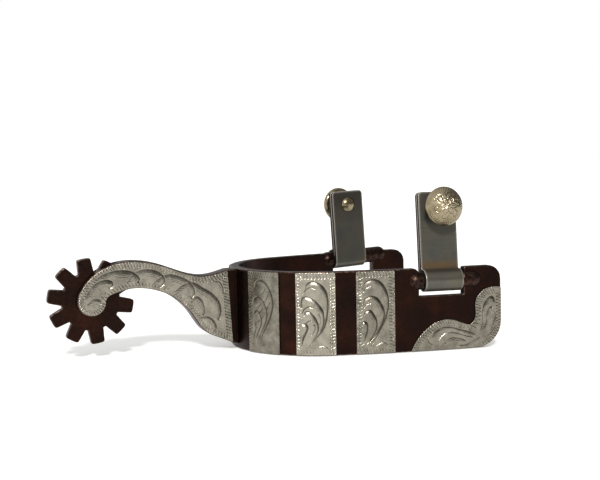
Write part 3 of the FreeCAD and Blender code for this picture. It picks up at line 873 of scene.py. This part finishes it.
def make_heel_band():
    left = branch_edge("left")
    right = [(-u, v, r) for u, v, r in reversed(branch_edge("right"))]
    loop = resample(anticlockwise(rounded(left + right)), 0.6)
    section = rounding(BAND_EDGE, BAND_HALF)
    points, faces, wear_and_sheen, _ = plate([loop], section, 0.9, 0.9)
    placed = on_band(points[:, 0], points[:, 1], points[:, 2])
    steel_piece("heel_band_plate", "frame", "heel_band", placed, faces, wear_and_sheen)


def make_knuckles(side):
    origin = hinge_axes(side, False)[0]
    inner = HANGER_HALF_WIDTH + HANGER_GAP
    for label, sign, end in (("rear", -1, KNUCKLE_ENDS[side][0]), ("front", 1, KNUCKLE_ENDS[side][1])):
        # the rounded rim has the highest rubbed share, partly a painted edge highlight
        rows = [(inner, PIN_RADIUS, 0.2), (inner, KNUCKLE_RADIUS - KNUCKLE_EDGE, 0.3)]
        for k in range(1, 5):
            turn = math.pi / 8 * k
            along = inner + KNUCKLE_EDGE * (1 - math.cos(turn))
            rows.append((along, KNUCKLE_RADIUS - KNUCKLE_EDGE * (1 - math.sin(turn)), 0.9))
        nose = abs(end - origin[0]) - KNUCKLE_RADIUS
        rows += [(inner + (nose - inner) * k / 6, KNUCKLE_RADIUS, 0.25) for k in range(1, 6)]
        for k in range(0, 17):
            turn = math.pi / 2 * k / 17
            rows.append((nose + KNUCKLE_RADIUS * math.sin(turn), KNUCKLE_RADIUS * math.cos(turn), 0.3))
        points, faces, wear_and_sheen = lathe(rows, 72)
        points[:, 0] *= sign
        placed = at_hinge(side, points, False)
        steel_piece(f"{side}_{label}_knuckle", "frame", "heel_band", placed, faces, wear_and_sheen)


def make_hinge_pin(side):
    half = HANGER_HALF_WIDTH + HANGER_GAP + PIN_DEPTH
    rows = [(-half, PIN_RADIUS, 0.2)]
    rows += [(-half + 2 * half * k / 24, PIN_RADIUS, 0.35) for k in range(1, 24)]
    rows.append((half, PIN_RADIUS, 0.2))
    points, faces, wear_and_sheen = lathe(rows, 64)
    placed = at_hinge(side, points, False)
    steel_piece(side + "_hinge_pin_bar", "frame", side + "_hinge_pin", placed, faces, wear_and_sheen)


# ---- shank and rowel ----

def side_plane(points):
    return points[:, 0], points[:, 2], points[:, 1]


def make_shank():
    loop = anticlockwise(flat_loops("shank", side_plane, -SHANK_HALF)[0])
    loop = resample(soften(loop, FACING_CORNER), 0.5)
    section = rounding(SHANK_EDGE, SHANK_HALF)
    points, faces, wear_and_sheen, _ = plate([loop], section, 1.2, 1.2)
    placed = points[:, [0, 2, 1]]
    made = steel_piece("shank_fork", "frame", "shank", placed, faces, wear_and_sheen)
    low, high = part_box("rowel")
    centre = (low + high) / 2
    cutter = bpy.data.meshes.new("slot")
    work = bmesh.new()
    bmesh.ops.create_cone(work, cap_ends=True, segments=96, radius1=FORK_SLOT_RADIUS * MM,
                          radius2=FORK_SLOT_RADIUS * MM, depth=2 * FORK_SLOT_HALF * MM,
                          matrix=Matrix.Translation(centre) @ Matrix.Rotation(math.pi / 2, 4, "X"))
    work.to_mesh(cutter)
    work.free()
    tool = added("slot", cutter)
    modifier = made.modifiers.new("slot", "BOOLEAN")
    modifier.operation = "DIFFERENCE"
    modifier.solver = "EXACT"
    modifier.object = tool
    bpy.context.view_layer.update()
    evaluated = made.evaluated_get(bpy.context.evaluated_depsgraph_get())
    mesh = bpy.data.meshes.new_from_object(evaluated)
    made.modifiers.clear()
    made.data = mesh
    mesh.set_sharp_from_angle(angle=math.radians(40))
    bpy.data.objects.remove(tool)


def make_rowel():
    loops = flat_loops("rowel", side_plane, -ROWEL_HALF)
    outer = resample(anticlockwise(loops[0]), TOOTH_STEP)
    for _ in range(TOOTH_SMOOTHINGS):
        outer = (np.roll(outer, 1, 0) + 2 * outer + np.roll(outer, -1, 0)) / 4
    bore = resample(anticlockwise(loops[1])[::-1], 0.5)
    section = rounding(ROWEL_EDGE, ROWEL_HALF)
    points, faces, wear_and_sheen, _ = plate([outer, bore], section, 0.6, 0.6)
    placed = points[:, [0, 2, 1]]
    wear_and_sheen = np.maximum(wear_and_sheen, ROWEL_FACE_WEAR)
    steel_piece("toothed_rowel", "rowel", "rowel", placed, faces, wear_and_sheen)


# ---- silver facings ----

# rounded front edge of the silver as (inset, height above its face)
SILVER_EDGE = [(0.4, 0.0), (0.28, 0.0), (0.16, -0.03), (0.07, -0.1), (0.02, -0.19), (0.0, -0.28),
               (0.0, -SILVER_THICKNESS)]


def silver_section(base):
    return [(margin, base + SILVER_THICKNESS + height, 0.0) for margin, height in SILVER_EDGE]


def facing(loop, base, back_spacing, leaves, edge, closed=True):
    """Points, faces and cut values of an engraved plate whose back lies at the base height."""
    relief = engraved(leaves, edge, closed)
    points, faces, _, cut = plate([loop], silver_section(base), SILVER_SPACING, back_spacing, relief)
    return points, faces, cut


def make_shank_facing(side):
    level = SIGN[side] * (SHANK_HALF + SILVER_THICKNESS)
    loop = anticlockwise(flat_loops(side + "_shank_facing", side_plane, level)[0])
    loop = resample(soften(loop, FACING_CORNER), 0.2)
    points, faces, cut = facing(loop, SHANK_HALF, 2.0, SHANK_LEAVES, loop)
    placed = points[:, [0, 2, 1]]
    placed[:, 1] *= SIGN[side]
    silver_piece(side + "_shank_silver", side + "_shank_facing", placed, faces, SILVER_PALENESS["shank"], cut)


def make_bar(side, place):
    low, high = SILVER_MARGIN, BAND_HEIGHT - SILVER_MARGIN
    corners = [(x, z, 0.4) for x, z in ((0, low), (BAR_WIDTH, low), (BAR_WIDTH, high), (0, high))]
    loop = resample(rounded(corners, 4), 0.2)
    points, faces, cut = facing(loop, BAND_HALF, 1.0, PLUMES[place], loop)
    length = SIGN[side] * (points[:, 0] + BAR_PLACES[place] - BAR_WIDTH / 2)
    placed = on_band(length, points[:, 1], points[:, 2])
    silver_piece(f"{side}_{place}_silver", f"{side}_{place}_bar", placed, faces, SILVER_PALENESS[place], cut)


def make_corner_plate(side):
    loops = flat_loops(side + "_corner_plate", unrolled, BAND_HALF + SILVER_THICKNESS)
    loop = resample(soften(anticlockwise(loops[0]), 0.4), 0.2)
    lowest = loop[:, 1].min()
    start = int(np.argmax(np.where(loop[:, 1] < lowest + 0.1, loop[:, 0], -1e9)))
    turned_loop = np.roll(loop, -start, 0)
    above = turned_loop[turned_loop[:, 1] > lowest + 0.15]
    points, faces, cut = facing(loop, BAND_HALF, 1.2, CORNER_LEAVES, above, False)
    placed = on_band(SIGN[side] * points[:, 0], points[:, 1], points[:, 2])
    silver_piece(side + "_corner_silver", side + "_corner_plate", placed, faces, SILVER_PALENESS["corner"], cut)


# ---- hangers, buttons and rivets ----

def hanger_profile(side):
    """Section of the folded strap in (outward, up), with its seam open at the top."""
    inner = HANGER_INNER
    outer = HANGER_OUTER
    seam = inner + HANGER_THICKNESS / 2
    reach = HANGER_REACH[side]
    blend_y = outer + BARREL_BLEND
    blend_z = math.sqrt((BARREL_RADIUS + BARREL_BLEND) ** 2 - blend_y ** 2)
    turn = math.atan2(blend_z, blend_y)
    crease = [(blend_y - BARREL_BLEND * math.cos(t), blend_z - BARREL_BLEND * math.sin(t))
              for t in np.linspace(0, turn, 6)]
    barrel = [(BARREL_RADIUS * math.cos(t), BARREL_RADIUS * math.sin(t))
              for t in np.linspace(turn, -math.pi, 90)][1:]
    top = [(inner, reach, 0.35), (seam - SEAM_HALF, reach, 0), (seam - SEAM_HALF, SEAM_START, 0),
           (seam + SEAM_HALF, SEAM_START, 0), (seam + SEAM_HALF, reach, 0), (outer, reach, 0.35)]
    return anticlockwise(rounded([(y, z, 0) for y, z in crease + barrel] + top, 5))


def fading(values, middle, width):
    """1 at the middle value, fading out over the width on both sides."""
    return np.exp(-((values - middle) / width) ** 2)


def hanger_shades(side, x, y, z, edge_wear_and_sheen):
    """Rubbed edges, heat tint and painted shade (the scale values) of a hanger's points, by their place on it."""
    reach = HANGER_REACH[side]
    # rubbed edges, and a painted highlight along the top rim
    wear_and_sheen = np.maximum(edge_wear_and_sheen, 0.8 * np.clip((z - (reach - 0.5)) / 0.5, 0, 1))
    heat = fading(z, HEAT_HEIGHT, HEAT_WIDTH) * (y > HANGER_OUTER - 0.2)
    # painted shade: side faces dark and inner face darker; the strap is also darker towards the top
    scale = (np.abs(x) > HANGER_HALF_WIDTH - 0.01).astype(float)
    scale += 0.45 * (y < HANGER_INNER + 0.3) + 0.3 * np.clip((z - reach + 15) / 12, 0, 1)
    scale = np.minimum(scale, 1)
    # painted shade in the crease where the strap bends round the barrel
    scale += 0.75 * fading(z, CREASE_SHADE_HEIGHT, CREASE_SHADE_WIDTH) * (y > HANGER_OUTER - 0.6) * (scale < 0.4)
    return wear_and_sheen, heat, scale


def make_hanger(side):
    half = HANGER_HALF_WIDTH
    outline = resample(hanger_profile(side), 0.5)
    turns = np.linspace(0, 2 * math.pi, 49)[:-1]
    bore = np.stack([PIN_BORE * np.cos(turns), PIN_BORE * np.sin(turns)], axis=1)[::-1]
    edge = rounding(HANGER_EDGE, half)
    width = 2 * (half - HANGER_EDGE)
    stations = [(0.0, half - HANGER_EDGE - width * k / 24, 0.0) for k in range(1, 24)]
    section = edge[:len(edge) // 2] + stations + edge[len(edge) // 2:]
    points, faces, wear_and_sheen, _ = plate([outline, bore], section, 0.6, 0.6)
    y, z, x = points.T
    wear_and_sheen, heat, scale = hanger_shades(side, x, y, z, wear_and_sheen)
    above = np.clip(z - (HANGER_REACH[side] - HANGER_CORNER), 0, HANGER_CORNER)
    narrow = half - HANGER_CORNER + np.sqrt(np.maximum(HANGER_CORNER ** 2 - above ** 2, 0))
    placed = at_hinge(side, np.column_stack([x * narrow / half, y, z]), True)
    made = piece(side + "_hanger_strap", side + "_hanger", [side + "_hanger"],
                 HANGER_STEEL, placed, faces, wear_and_sheen, heat, scale)
    made.data.set_sharp_from_angle(angle=math.radians(50))


def sphere_radius(radius, height):
    """Radius of the sphere whose cap has this rim radius and height."""
    return (radius ** 2 + height ** 2) / (2 * height)


def dome_height(radius, height, across):
    """Height of a spherical dome above its rim at a distance from its axis."""
    sphere = sphere_radius(radius, height)
    return height - sphere + np.sqrt(sphere ** 2 - across ** 2)


INNER_RING = 5.35
MILLED_RING = 6.9
OUTER_RING = 7.1
EVEN = (0.001, 0.001)


def button_relief(points):
    """Flower of six petals inside a ring of scrolls and a milled rim."""
    field = np.zeros(len(points))

    def cut(line, depth, inner, outer, fades=(0.35, 0.25)):
        graver_cut(field, points, line, depth, inner, outer, *fades)

    turns = np.linspace(0, 2 * math.pi, 240, endpoint=False)
    ring = np.stack([np.cos(turns), np.sin(turns)], axis=1)
    closed = np.concatenate([ring, ring[:1]])
    for k in range(6):
        turn = k * math.pi / 3
        c, s = math.cos(turn), math.sin(turn)
        basis = np.array([[c, s], [-s, c]])
        for mirror in (1, -1):
            petal = np.array([(0.5, 0.0), (1.3, 0.75), (2.4, 0.85), (3.2, 0.4), (3.5, 0)]) * [1, mirror]
            cut(smooth_line(petal @ basis), 0.22, 0.45, 0.3)
        vein = np.array([(0.9, 0), (1.8, 0.1), (2.8, 0)])
        cut(smooth_line(vein @ basis, 12), 0.15, 0.25, 0.25)
        curl = np.array([(2.2, 1.6), (3.4, 2.2), (4.7, 1.9), (5.3, 0.9), (4.9, 0), (4.2, 0), (4.0, 0.6)])
        cut(smooth_line(curl @ basis)[::-1], 0.25, 0.7, 0.2)
        for reach in (0.7, 0.85):
            cut(smooth_line((curl * reach + [1.0, 0]) @ basis)[8:30], 0.13, 0.22, 0.2)
        spray = np.array([(3.2, 2.5), (4.4, 3.0), (5.3, 2.5)])
        cut(smooth_line(spray @ basis)[::-1], 0.2, 0.5, 0.15)
    cut(closed * INNER_RING, 0.13, 0.2, 0.3, EVEN)
    border(field, points, ring * MILLED_RING, period=1.0, rows=(0.3, 1.1), depth=0.13)
    cut(closed * OUTER_RING, 0.12, 0.2, 0.2, EVEN)
    return field


def make_button(side):
    foot = button_foot(side)
    segments = 220
    rows = [(h, BUTTON_NECK_RADIUS) for h in np.linspace(0, BUTTON_NECK_LENGTH, 6)]
    flare = BUTTON_UNDERSIDE_RADIUS - BUTTON_NECK_RADIUS
    rows += [(BUTTON_NECK_LENGTH + BUTTON_UNDERSIDE_RISE * t, BUTTON_NECK_RADIUS + flare * t)
             for t in np.linspace(0.05, 1, 8)]
    rim = BUTTON_NECK_LENGTH + BUTTON_RIM
    start = np.array([BUTTON_UNDERSIDE_RADIUS, BUTTON_NECK_LENGTH + BUTTON_UNDERSIDE_RISE])
    middle = np.array([BUTTON_RADIUS - 0.05, rim - 1.05])
    end = np.array([BUTTON_RADIUS, rim])
    for t in np.linspace(0.1, 1, 10):
        bend = (1 - t) ** 2 * start + 2 * t * (1 - t) * middle + t ** 2 * end
        rows.append((bend[1], bend[0]))
    dome = [(rim + float(dome_height(BUTTON_RADIUS, BUTTON_DOME, r)), r)
            for r in np.linspace(BUTTON_RADIUS, 0.1, 52)[1:]]
    first_dome = len(rows)
    rows += dome
    points, faces, _ = lathe([(h, r, 0.0) for h, r in rows], segments)
    flat = points[:, 1:]
    depth = np.zeros(len(points))
    neck_centre = len(points) - 2
    upper = np.arange(len(points)) >= first_dome * segments
    upper[neck_centre] = False
    depth[upper] = button_relief(flat[upper])
    sphere = sphere_radius(BUTTON_RADIUS, BUTTON_DOME)
    normal = np.column_stack([np.sqrt(sphere ** 2 - np.minimum(flat[:, 0] ** 2 + flat[:, 1] ** 2, 60)),
                              flat]) / sphere
    polish = 0.8 - 0.7 * np.hypot(flat[:, 0], flat[:, 1]) / BUTTON_RADIUS
    points -= normal * depth[:, None]
    placed = at_hinge(side, points[:, [1, 0, 2]] + foot, True)
    piece(side + "_strap_button", side + "_hanger", [side + "_button"], BUTTON_SILVER,
          placed, faces, polish, depth)


def make_rivet(side):
    foot = button_foot(side)
    back = foot[1] - HANGER_THICKNESS
    shaft = RIVET_SHAFT_RADIUS
    rows = [(foot[1] + RIVET_IN_NECK, shaft, 0.0), (back + 0.2, shaft, 0.0), (back + 0.02, shaft + 0.1, 0.0),
            (back + 0.02, RIVET_HEAD_RADIUS - 0.25, 0.0), (back - 0.12, RIVET_HEAD_RADIUS - 0.04, 0.0)]
    for r in np.linspace(RIVET_HEAD_RADIUS, 0.1, 22):
        height = float(dome_height(RIVET_HEAD_RADIUS, RIVET_HEAD_HEIGHT - 0.25, r))
        rows.append((back - 0.25 - height, r, 0.0))
    points, faces, _ = lathe(rows, 72)
    placed = at_hinge(side, points[:, [1, 0, 2]] + [foot[0], 0, foot[2]], True)
    piece(side + "_rivet_head", side + "_hanger", [side + "_button_rivet"], BUTTON_SILVER,
          placed, faces)


make_heel_band()
make_shank()
make_rowel()
for side in SIGN:
    make_knuckles(side)
    make_hinge_pin(side)
    make_shank_facing(side)
    for place in BAR_PLACES:
        make_bar(side, place)
    make_corner_plate(side)
    make_hanger(side)
    make_button(side)
    make_rivet(side)
for slot in frame["nodes"]["rowel_pin"].material_slots:
    slot.material = STEEL


# ---- stage, light and camera ----

FLOOR_SIZE = 8.0
FLOOR_GAP = 0.0002
FLOOR_GLOW = 0.26
KEY_STRENGTH = 3.2
KEY_SPREAD = math.radians(8)
KEY_PLACE = (-22, 38)
GLOW_PLACE = (-105, 32)
CAMERA_AZIMUTH = -20.57
CAMERA_ELEVATION = 4.31
CAMERA_ROLL = -1.08
CAMERA_TARGET = (0.0263, 0.0, 0.0414)
CAMERA_DISTANCE = 0.4369
CAMERA_LENS = 64.84


def make_floor():
    made, tree, shader = material("pale_floor")
    connect(tree, shader, {
        "Base Color": (0.78, 0.78, 0.77, 1), "Roughness": 0.9, "Specular IOR Level": 0.1,
        "Emission Color": (1, 1, 0.98, 1), "Emission Strength": FLOOR_GLOW})
    mesh = bpy.data.meshes.new("floor")
    corners = [(x * FLOOR_SIZE, y * FLOOR_SIZE, 0) for x, y in ((-1, -1), (1, -1), (1, 1), (-1, 1))]
    mesh.from_pydata(corners, [], [(0, 1, 2, 3)])
    mesh.materials.append(made)
    floor = added("floor", mesh)
    floor.location.z = -FLOOR_GAP


def aim(azimuth, elevation):
    """Unit vector from the object towards a place round it; azimuth 0 is towards -Y."""
    a, e = math.radians(azimuth), math.radians(elevation)
    return Vector((math.sin(a) * math.cos(e), -math.cos(a) * math.cos(e), math.sin(e)))


def make_light():
    key = bpy.data.lights.new("key", "SUN")
    key.energy = KEY_STRENGTH
    key.angle = KEY_SPREAD
    key.color = (1.0, 0.98, 0.95)
    lamp = added("key", key)
    lamp.rotation_mode = "QUATERNION"
    lamp.rotation_quaternion = (-aim(*KEY_PLACE)).to_track_quat("-Z", "Y")
    world = bpy.data.worlds.new("studio")
    world.use_nodes = True
    bpy.context.scene.world = world
    tree = world.node_tree
    sky = tree.nodes["Background"]
    direction = node(tree, "TexCoord").outputs["Generated"]
    towards = tuple(aim(*GLOW_PLACE))
    facing = node(tree, "VectorMath", {0: direction, 1: towards}, operation="DOT_PRODUCT")
    share = math_node(tree, facing.outputs["Value"], 0.5, "MULTIPLY_ADD")
    share.node.inputs[2].default_value = 0.5
    glow = ramp(tree, share, [(0.15, 0.18), (0.5, 0.30), (0.72, 0.72), (0.9, 1.15)])
    connect(tree, sky, {"Color": glow, "Strength": 1.0})
    backdrop = node(tree, "Background", {"Color": (1, 1, 1, 1), "Strength": 1.0})
    seen = node(tree, "LightPath").outputs["Is Camera Ray"]
    chosen = node(tree, "MixShader", {0: seen, 1: sky.outputs[0], 2: backdrop.outputs[0]})
    connect(tree, tree.nodes["World Output"], {"Surface": chosen.outputs[0]})


def make_camera():
    data = bpy.data.cameras.new("camera")
    data.lens = CAMERA_LENS
    data.sensor_width = 36.0
    data.clip_start = 0.01
    data.clip_end = 50.0
    camera = added("camera", data)
    back = aim(CAMERA_AZIMUTH, CAMERA_ELEVATION)
    a = math.radians(CAMERA_AZIMUTH)
    level = Vector((math.cos(a), math.sin(a), 0))
    upright = back.cross(level)
    r = math.radians(CAMERA_ROLL)
    across = level * math.cos(r) + upright * math.sin(r)
    up = upright * math.cos(r) - level * math.sin(r)
    turn = Matrix((across, up, back)).transposed().to_4x4()
    camera.matrix_world = Matrix.Translation(Vector(CAMERA_TARGET) + back * CAMERA_DISTANCE) @ turn
    bpy.context.scene.camera = camera


make_floor()
make_light()
make_camera()
bpy.context.scene.view_settings.view_transform = "Standard"
